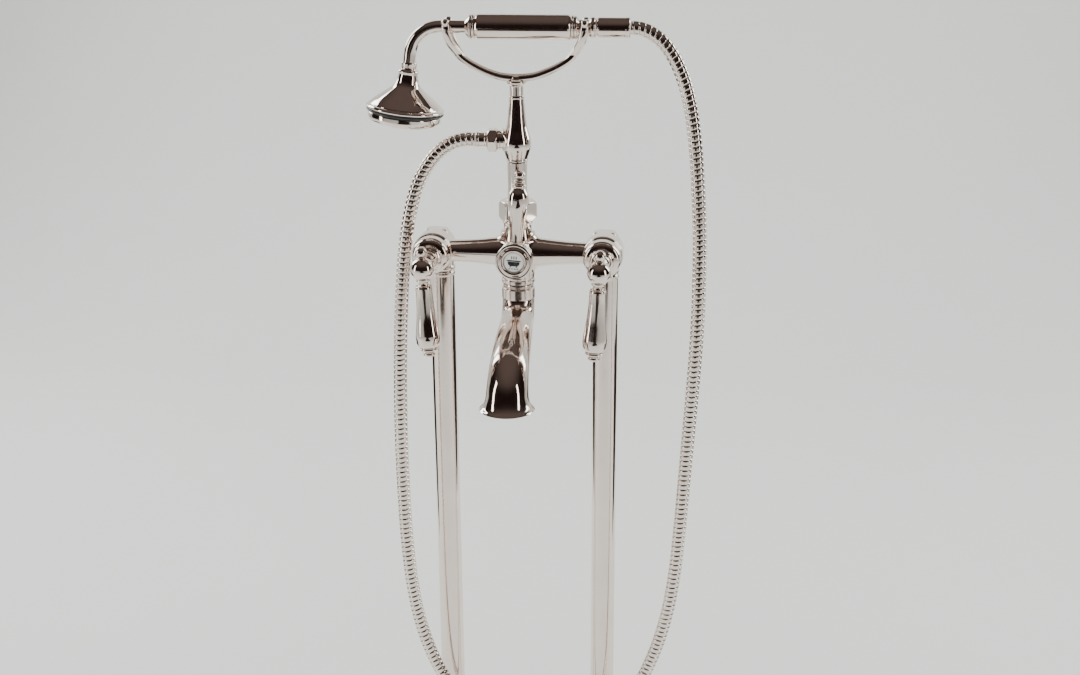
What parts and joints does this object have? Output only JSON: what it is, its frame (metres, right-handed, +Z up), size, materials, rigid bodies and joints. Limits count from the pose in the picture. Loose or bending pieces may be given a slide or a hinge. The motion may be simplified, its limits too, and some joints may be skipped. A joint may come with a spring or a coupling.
{
  "type": "floor-standing bath and shower mixer",
  "caption": "Floor-standing bath mixer: standpipes carry a body with quarter-turn levers, diverter and spout, and a riser whose cradle holds a handset on a metal hose.",
  "frame": {"origin": "on the floor, midway between the standpipe axes", "axes": "+X to the user's right, +Y towards the wall, +Z up"},
  "size_m": [0.3542, 0.2215, 1.0376],
  "materials": {
    "polished_nickel": "polished nickel plate",
    "hose_metal": "polished interlocked metal hose",
    "plain_brass": "machined",
    "copper": "drawn copper tube",
    "black_rubber": "moulded",
    "white_plastic": "moulded",
    "white_porcelain": "glazed",
    "valve_ceramic": "lapped"
  },
  "bodies": {
    "standing_frame": {"left_floor_flange": "polished_nickel", "left_standpipe": "polished_nickel", "left_elbow": "polished_nickel", "left_union_nut": "polished_nickel", "left_valve_bonnet": "polished_nickel", "left_supply_pipe": "copper", "left_union_washer": "black_rubber", "left_cartridge": "plain_brass", "left_ceramic_disc_fixed": "valve_ceramic", "right_floor_flange": "polished_nickel", "right_standpipe": "polished_nickel", "right_elbow": "polished_nickel", "right_union_nut": "polished_nickel", "right_valve_bonnet": "polished_nickel", "right_supply_pipe": "copper", "right_union_washer": "black_rubber", "right_cartridge": "plain_brass", "right_ceramic_disc_fixed": "valve_ceramic", "mixer_body": "polished_nickel", "spout": "polished_nickel", "spout_collar": "polished_nickel", "riser_nut": "polished_nickel", "riser_column": "polished_nickel", "riser_tee": "polished_nickel", "hose_nut": "polished_nickel", "hose_ferrule": "polished_nickel", "diverter_cartridge": "plain_brass", "outlet_nipple": "plain_brass", "spout_seal": "black_rubber", "riser_washer": "black_rubber", "hose_washer": "black_rubber", "check_valve": "white_plastic", "flow_straightener": "white_plastic", "hose_riser_run": "hose_metal"},
    "left_lever": {"left_ceramic_disc_moving": "valve_ceramic", "left_spindle": "plain_brass", "left_lever_hub": "polished_nickel", "left_lever_arm": "polished_nickel"},
    "right_lever": {"right_ceramic_disc_moving": "valve_ceramic", "right_spindle": "plain_brass", "right_lever_hub": "polished_nickel", "right_lever_arm": "polished_nickel"},
    "diverter": {"diverter_spindle": "plain_brass", "diverter_barrel": "polished_nickel", "diverter_bezel": "polished_nickel", "diverter_plate": "white_porcelain", "diverter_lever": "polished_nickel"},
    "cradle": {"cradle": "polished_nickel", "cradle_grub_screw": "plain_brass"},
    "handset": {"handset_neck": "polished_nickel", "handset_head": "polished_nickel", "rose_seal": "black_rubber", "rose_plate": "polished_nickel", "handset_ferrule": "polished_nickel", "handset_grip": "polished_nickel", "handset_end": "polished_nickel", "handset_washer": "black_rubber", "handset_hose_nut": "polished_nickel", "hose_handset_run": "hose_metal"}
  },
  "joints": [
    {"name": "left_lever_turn", "type": "hinge", "parent": "standing_frame", "child": "left_lever", "pos_m": [-0.09, -0.12, 0.79], "axis": [0, 1, 0], "range_deg": [0, 90]},
    {"name": "right_lever_turn", "type": "hinge", "parent": "standing_frame", "child": "right_lever", "pos_m": [0.09, -0.12, 0.79], "axis": [0, -1, 0], "range_deg": [0, 90]},
    {"name": "diverter_turn", "type": "hinge", "parent": "standing_frame", "child": "diverter", "pos_m": [0, -0.085, 0.79], "axis": [0, 1, 0], "range_deg": [0, 60]},
    {"name": "cradle_swivel", "type": "hinge", "parent": "standing_frame", "child": "cradle", "pos_m": [0, -0.048, 0.96], "axis": [0, 0, 1], "range_deg": [-15, 15], "deforming": ["hose_riser_run", "hose_handset_run"]},
    {"name": "handset_lift", "type": "slide", "parent": "cradle", "child": "handset", "axis": [0, 0, 1], "range_m": [0, 0.06], "deforming": ["hose_handset_run"]}
  ]
}
